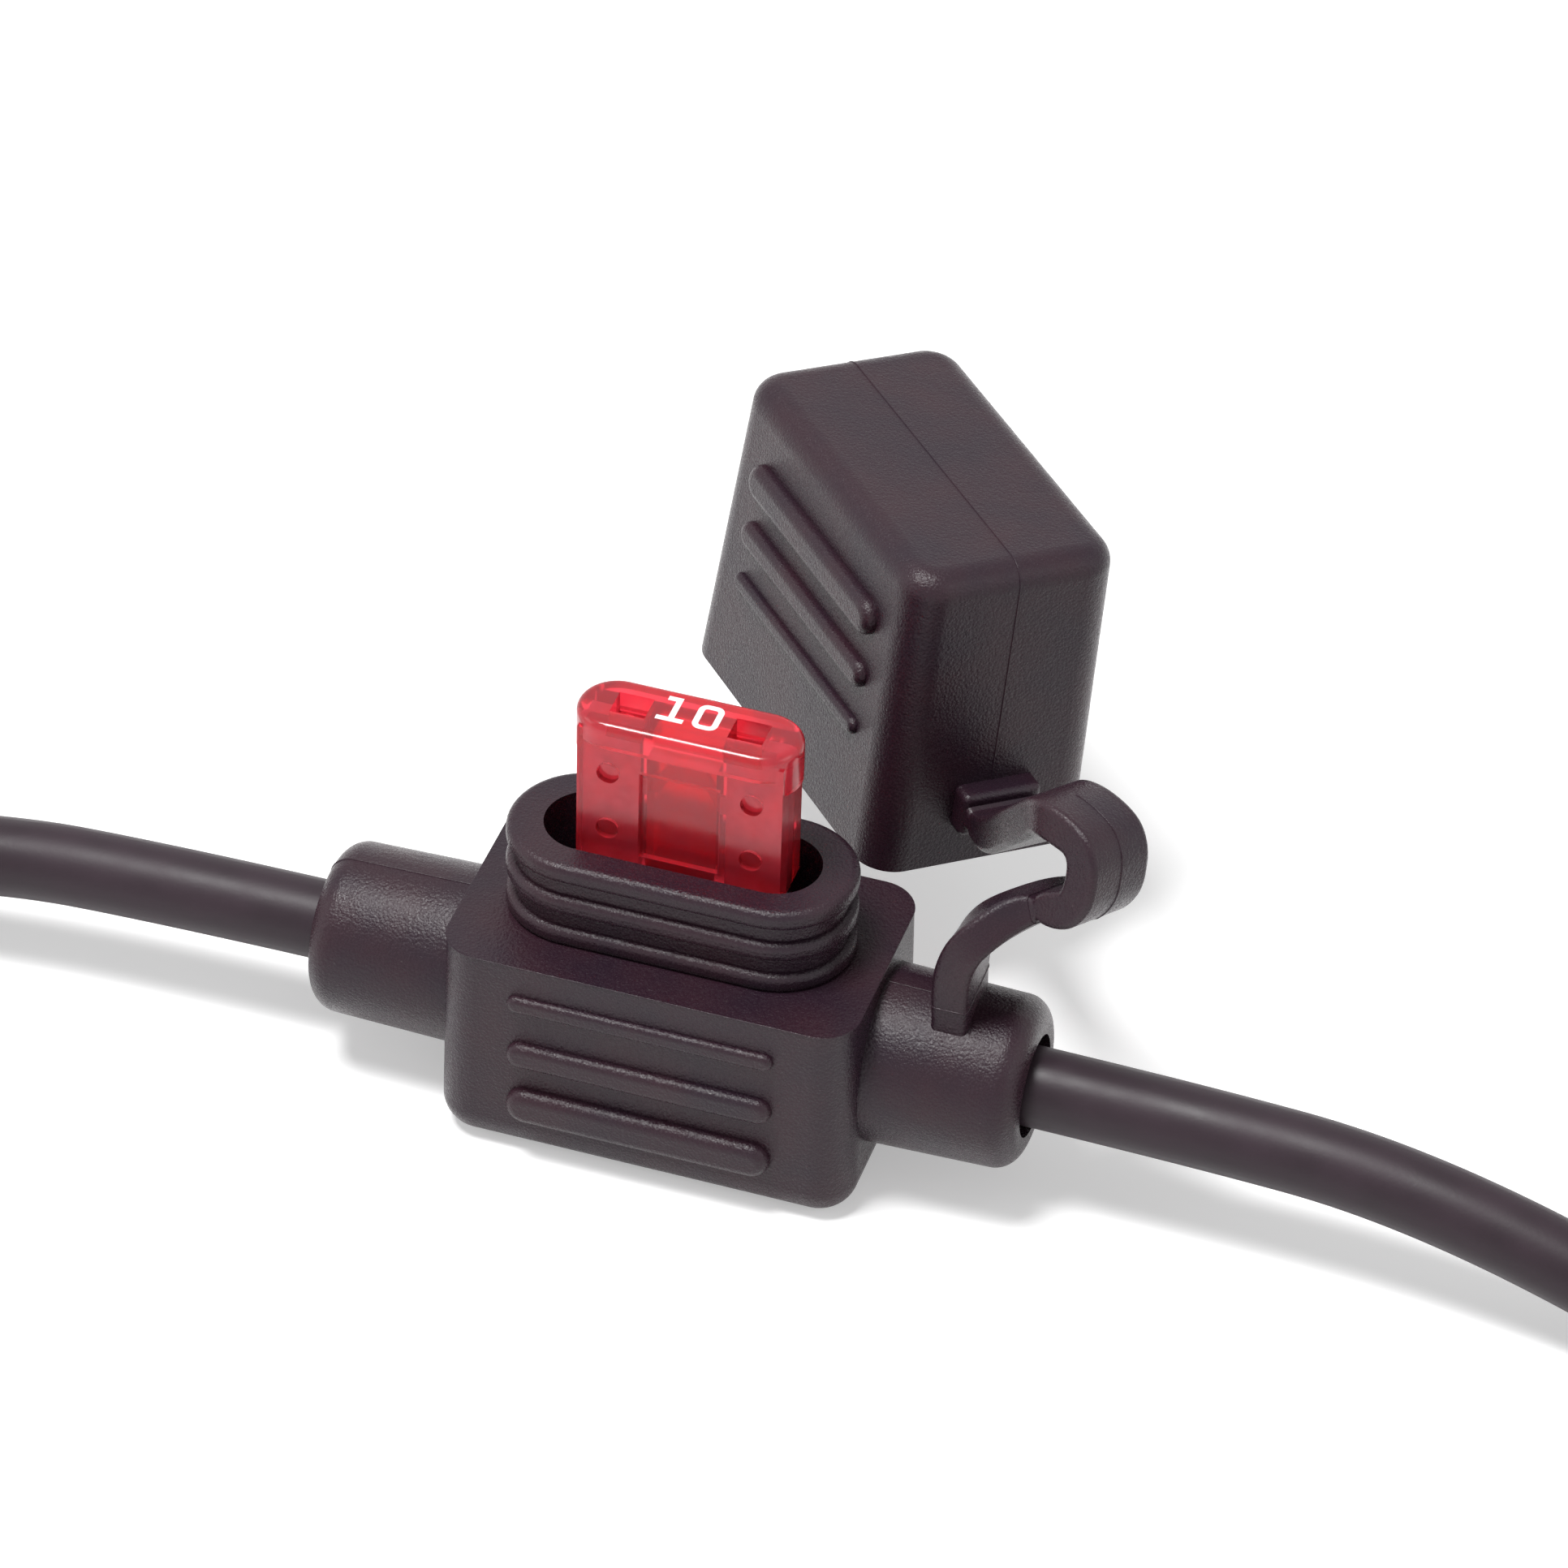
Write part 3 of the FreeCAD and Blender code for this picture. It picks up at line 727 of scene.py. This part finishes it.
class FUSEHOLDER_OT_mould_lines(bpy.types.Operator):
    """Raise the fine lines where the halves of the mould met"""

    bl_idname = "fuseholder.mould_lines"
    bl_label = "Mould lines"

    def execute(self, context):
        s = settings(context).moulding
        finish = moulding_material("mould_line_finish", s, grain=0.4, rough=0.32)
        tree = line_tree()

        def on_collars(p):
            outside = math.hypot(p.y, p.z - LEAD_AXIS) > COLLAR_LINE_FROM
            return abs(p.x) > 10.3 and outside and p.z > 8.0 and p.x < 13.0

        def round_body(p):
            return abs(p.x) > 9.0 or abs(p.y) > 4.6

        def on_cap(p):
            local = CAP_FRAME @ (p - CAP_MIDDLE / MM)
            inside = abs(local.x) < 8.9 and local.z < 6.7
            return not inside and local.z > -8.2 and not (local.x > 9.0 and local.z < -3.4)

        def on_bend(p):
            local = p - BEND_MIDDLE / MM
            out, up = local.dot(BEND_OUT), local.dot(BEND_UP)
            return out > -1.0 and math.hypot(out, up) > 1.9

        cuts = [
            ("collar_mould_line", "housing", (0, 0, 0), (0, 1, 0), on_collars, "base"),
            ("body_edge_line", "housing", (0, 0, BODY_EDGE_LEVEL * MM), (0, 0, 1), round_body, "base"),
            ("cap_mould_line", "cap", CAP_MIDDLE, CAP_ACROSS, on_cap, "cap"),
            ("bend_mould_line", "strap_bend", BEND_MIDDLE, BEND_ACROSS, on_bend, "strap"),
        ]
        for name, node_name, point, normal, wanted, body in cuts:
            line = mesh_piece(name, plane_cut(node_name, point, normal, wanted))
            tree_result(line, tree, {"Radius": s.seam_width / 2, "Material": finish})
            for face in line.data.polygons:
                face.use_smooth = True
            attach(line, body)
        return {"FINISHED"}


class FUSEHOLDER_OT_thin_spots(bpy.types.Operator):
    """Bridge the two places where the strap bends with thin webs"""

    bl_idname = "fuseholder.thin_spots"
    bl_label = "Thin spots"

    def execute(self, context):
        s = settings(context).moulding
        finish = moulding_material("thin_spot_finish", s, grain=0.7)
        turn = math.radians(BEND_START_ANGLE)
        low_way = BEND_OUT * math.cos(turn) + BEND_UP * math.sin(turn)
        low_end = BEND_MIDDLE + (BEND_OUT * BEND_START[0] + BEND_UP * BEND_START[1]) * MM
        low_start = low_end - low_way * THIN_SPOT_LENGTH * MM
        across, up = ROOT_PLACE
        reach = CAP_LONG * (CAP_HALF_LENGTH + ROOT_PROUD)
        root = CAP_MIDDLE + (reach + CAP_ACROSS * across + CAP_RISE * up) * MM
        high_start = root + CAP_LONG * THIN_SPOT_LENGTH * MM
        webs = [
            ("lower_thin_spot", low_start, low_way, BEND_ACROSS, "base", "strap"),
            ("upper_thin_spot", high_start, -CAP_LONG, CAP_ACROSS, "strap", "cap"),
        ]
        for name, start, way, across, first, last in webs:
            mesh = web_mesh(name, start, way, across, s.web_shrink)
            web = mesh_piece(name, mesh)
            dress(web, finish)
            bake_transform(web)
        return {"FINISHED"}


class FUSEHOLDER_OT_fuse(bpy.types.Operator):
    """Give the fuse its see-through red and its zinc blades"""

    bl_idname = "fuseholder.fuse"
    bl_label = "Fuse"

    def execute(self, context):
        s = settings(context).fuse
        dress(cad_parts["fuse_housing"], fuse_material(s))
        metal = sheet_metal_material("fuse_zinc_finish", tuple(s.metal), 0.3, 0.5)
        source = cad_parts["fuse_element"].data.copy()
        bm = bmesh.new()
        bm.from_mesh(source)
        bmesh.ops.remove_doubles(bm, verts=bm.verts, dist=1e-6)
        bm.normal_update()
        for vert in bm.verts:
            vert.co += vert.normal * 0.012 * MM
        bm.to_mesh(source)
        bm.free()
        blades = mesh_piece("fuse_blades", source)
        dress(blades, metal)
        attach(blades, "fuse")
        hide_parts("fuse_element")
        return {"FINISHED"}


class FUSEHOLDER_OT_rating_print(bpy.types.Operator):
    """Print the rating on top of the fuse"""

    bl_idname = "fuseholder.rating_print"
    bl_label = "Rating print"

    def execute(self, context):
        s = settings(context).fuse
        width = s.stroke
        low = PRINT_MIDDLE * MM - s.print_height / 2
        high = PRINT_MIDDLE * MM + s.print_height / 2
        level = FUSE_TOP * MM + INK_LIFT * MM
        thick = INK_THICKNESS * MM
        bm = bmesh.new()
        stem = STEM_PLACE * MM
        flag = Vector((FLAG_START * MM, high - width / 2))
        corner = Vector((stem, high - width / 2))
        flat_figure(bm, [flag, corner, Vector((stem, low + width))], width, level, thick)
        foot = [Vector((end * MM, low + width / 2)) for end in FOOT_ENDS]
        flat_figure(bm, foot, width, level, thick)
        ring = rounded_loop(ZERO_MIDDLE[0] * MM, ZERO_MIDDLE[1] * MM, ZERO_HALF_LENGTH * MM - width / 2,
                            s.print_height / 2 - width / 2, ZERO_ROUND * MM)
        flat_figure(bm, ring, width, level, thick, closed=True)
        bmesh.ops.recalc_face_normals(bm, faces=bm.faces)
        mesh = bpy.data.meshes.new("rating_print")
        bm.to_mesh(mesh)
        bm.free()
        rating = mesh_piece("rating_print", mesh)
        dress(rating, print_material(s))
        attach(rating, "fuse")
        return {"FINISHED"}


class FUSEHOLDER_OT_terminals(bpy.types.Operator):
    """Tin the two terminals"""

    bl_idname = "fuseholder.terminals"
    bl_label = "Terminals"

    def execute(self, context):
        tin = sheet_metal_material("terminal_tin_finish", (0.72, 0.71, 0.67), 0.25, 0.45)
        for name in ("left_terminal", "right_terminal"):
            dress(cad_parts[name], tin)
        return {"FINISHED"}


class FUSEHOLDER_OT_stage(bpy.types.Operator):
    """Make the pale floor, the lamps and the room light"""

    bl_idname = "fuseholder.stage"
    bl_label = "Stage"

    def execute(self, context):
        s = settings(context).stage
        scene = context.scene
        reach = FLOOR_REACH
        level = FLOOR_LEVEL * MM
        corners = [(x * reach, y * reach, level) for x, y in ((-1, -1), (1, -1), (1, 1), (-1, 1))]
        floor = mesh_piece("floor", mesh_from("floor", corners, [(0, 1, 2, 3)]))
        dress(floor, floor_material())
        lamps = [
            ("key_lamp", (-0.11, -0.10, 0.54), 0.17, s.key_power),
            ("left_lamp", (-0.55, -0.20, 0.28), 0.30, s.fill_power),
            ("right_lamp", (0.55, -0.05, 0.30), 0.30, s.fill_power),
        ]
        for name, place, size, power in lamps:
            data = bpy.data.lights.new(name, "AREA")
            data.shape = "SQUARE"
            data.size = size
            data.energy = power
            lamp = bpy.data.objects.new(name, data)
            scene.collection.objects.link(lamp)
            lamp.location = place
            lamp.rotation_mode = "QUATERNION"
            lamp.rotation_quaternion = (LAMP_AIM - Vector(place)).to_track_quat("-Z", "Y")
        world = bpy.data.worlds.new("room")
        world.use_nodes = True
        scene.world = world
        tree = world.node_tree
        background = tree.nodes["Background"]
        background.inputs["Color"].default_value = (1, 1, 1, 1)
        strength = mapped(tree, seen(tree), 0, 1, s.room_light, 1.0)
        link(tree, strength, background.inputs["Strength"])
        scene.view_settings.view_transform = "Standard"
        return {"FINISHED"}


STEPS = (
    FUSEHOLDER_OT_camera,
    FUSEHOLDER_OT_leads,
    FUSEHOLDER_OT_moulding,
    FUSEHOLDER_OT_mould_lines,
    FUSEHOLDER_OT_thin_spots,
    FUSEHOLDER_OT_fuse,
    FUSEHOLDER_OT_rating_print,
    FUSEHOLDER_OT_terminals,
    FUSEHOLDER_OT_stage,
)


class FUSEHOLDER_PT_panel(bpy.types.Panel):
    """Lists the steps and their sizes"""

    bl_label = "Inline fuse holder"
    bl_idname = "FUSEHOLDER_PT_panel"
    bl_space_type = "VIEW_3D"
    bl_region_type = "UI"
    bl_category = "Fuse holder"

    def draw(self, context):
        layout = self.layout
        for step in STEPS:
            layout.operator(step.bl_idname)
        for group in ("leads", "moulding", "fuse", "stage"):
            box = layout.box()
            box.label(text=group.capitalize())
            part = getattr(settings(context), group)
            for name in part.__annotations__:
                box.prop(part, name)


CLASSES = (
    LeadSettings,
    MouldingSettings,
    FuseSettings,
    StageSettings,
    FuseHolderSettings,
    *STEPS,
    FUSEHOLDER_PT_panel,
)


def register():
    for made in CLASSES:
        bpy.utils.register_class(made)
    bpy.types.Scene.fuse_holder = PointerProperty(type=FuseHolderSettings)


def unregister():
    del bpy.types.Scene.fuse_holder
    for made in reversed(CLASSES):
        bpy.utils.unregister_class(made)


def main():
    register()
    bpy.ops.fuseholder.camera()
    bpy.ops.fuseholder.leads()
    bpy.ops.fuseholder.moulding()
    bpy.ops.fuseholder.mould_lines()
    bpy.ops.fuseholder.thin_spots()
    bpy.ops.fuseholder.fuse()
    bpy.ops.fuseholder.rating_print()
    bpy.ops.fuseholder.terminals()
    bpy.ops.fuseholder.stage()
    bpy.context.view_layer.update()


if __name__ == "__main__":
    main()
